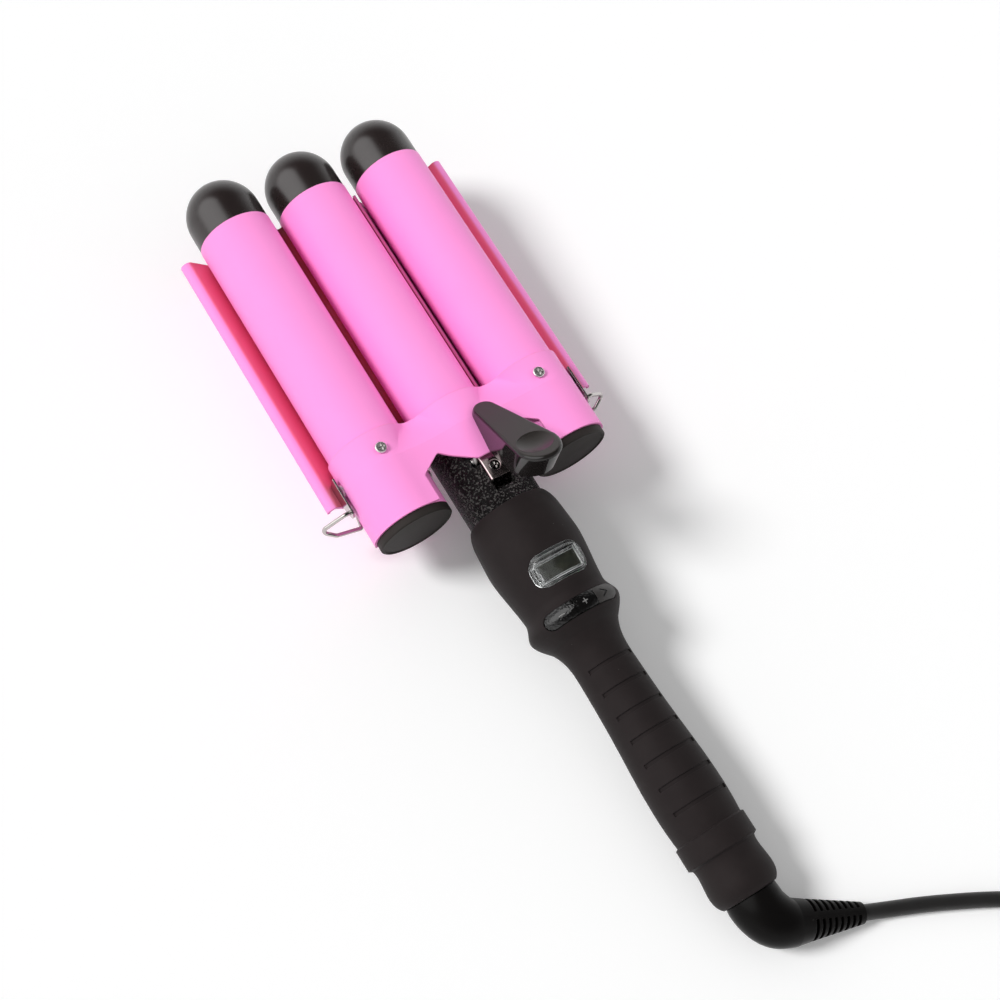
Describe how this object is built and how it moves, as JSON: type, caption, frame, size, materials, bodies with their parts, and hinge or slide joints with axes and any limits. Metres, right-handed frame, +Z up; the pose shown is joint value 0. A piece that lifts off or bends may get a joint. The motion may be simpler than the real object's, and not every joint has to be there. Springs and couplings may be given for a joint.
{
  "type": "three-barrel hair waver",
  "caption": "Hair waver: parallel pink barrels clamp hair against winged gutters; hinged upper jaw with thumb lever, wire rest, display handle and swivel mains lead.",
  "frame": {"origin": "on the table, below the middle of the tool's bounding box without its mains lead", "axes": "+Z up from the table, +Y towards the barrel tips, +X to the right of someone who looks along +Y; the tool rests on its wire stand and the collar of its handle"},
  "size_m": [0.2387, 0.5665, 0.0783],
  "materials": {
    "pink_paint": "satin",
    "soft_black": "soft touch",
    "gloss_black": "gloss",
    "tip_black": "satin",
    "crinkle_black": "fine grain",
    "satin_grey": "satin",
    "bright_metal": "polished",
    "steel": "plain",
    "clear_lens": "clear",
    "lcd": "liquid crystal panel",
    "board": "lacquered",
    "ceramic": "fired",
    "lead_sleeve": "silicone sleeve",
    "cord_rubber": "satin",
    "pin_brass": "plated"
  },
  "bodies": {
    "handle": {"grip_upper": "soft_black", "grip_lower": "soft_black", "grip_screws": "steel", "neck": "crinkle_black", "center_barrel": "pink_paint", "center_tip": "tip_black", "center_heater": "ceramic", "left_wing": "pink_paint", "right_wing": "pink_paint", "lower_bridge": "pink_paint", "bridge_rivets": "steel", "hinge_bracket": "bright_metal", "bracket_screw": "bright_metal", "hinge_pin": "steel", "hinge_spring": "steel", "stand_brackets": "bright_metal", "display_lens": "clear_lens", "display_panel": "lcd", "circuit_board": "board", "board_screws": "steel", "key_switches": "crinkle_black", "supply_leads": "lead_sleeve", "heater_leads": "lead_sleeve"},
    "upper_jaw": {"jaw_saddle": "pink_paint", "saddle_screws": "bright_metal", "left_barrel": "pink_paint", "right_barrel": "pink_paint", "left_tip": "tip_black", "right_tip": "tip_black", "left_heater": "ceramic", "right_heater": "ceramic", "left_plug": "tip_black", "right_plug": "tip_black", "plug_screws": "bright_metal", "hinge_leaf": "steel", "thumb_lever": "gloss_black", "lever_screws": "steel"},
    "stand": {"wire_stand": "bright_metal"},
    "left_key": {"left_button": "gloss_black"},
    "middle_key": {"middle_button": "gloss_black"},
    "right_key": {"right_button": "satin_grey"},
    "lead": {"cord_boot": "gloss_black", "cord": "cord_rubber", "cord_coil": "cord_rubber", "plug_body": "cord_rubber", "plug_pins": "pin_brass"}
  },
  "joints": [
    {"name": "jaw_hinge", "type": "hinge", "parent": "handle", "child": "upper_jaw", "pos_m": [0, 0.01461, 0.04137], "axis": [1, 0, 0], "range_deg": [0, 28], "stiffness_Nm_per_rad": 0.35, "springref_deg": -51.57},
    {"name": "stand_hinge", "type": "hinge", "parent": "handle", "child": "stand", "pos_m": [0, 0.02266, 0.03035], "axis": [1, 0, 0], "range_deg": [0, 17]},
    {"name": "left_key_press", "type": "slide", "parent": "handle", "child": "left_key", "axis": [0, 0.0751, -0.9972], "range_m": [0, 0.0007], "stiffness_N_per_m": 800},
    {"name": "middle_key_press", "type": "slide", "parent": "handle", "child": "middle_key", "axis": [0, 0.0751, -0.9972], "range_m": [0, 0.0007], "stiffness_N_per_m": 800},
    {"name": "right_key_press", "type": "slide", "parent": "handle", "child": "right_key", "axis": [0, 0.0751, -0.9972], "range_m": [0, 0.0007], "stiffness_N_per_m": 800},
    {"name": "cord_swivel", "type": "hinge", "parent": "handle", "child": "lead", "pos_m": [0, -0.17754, 0.01347], "axis": [0, 0.9972, 0.0751], "continuous": true}
  ]
}
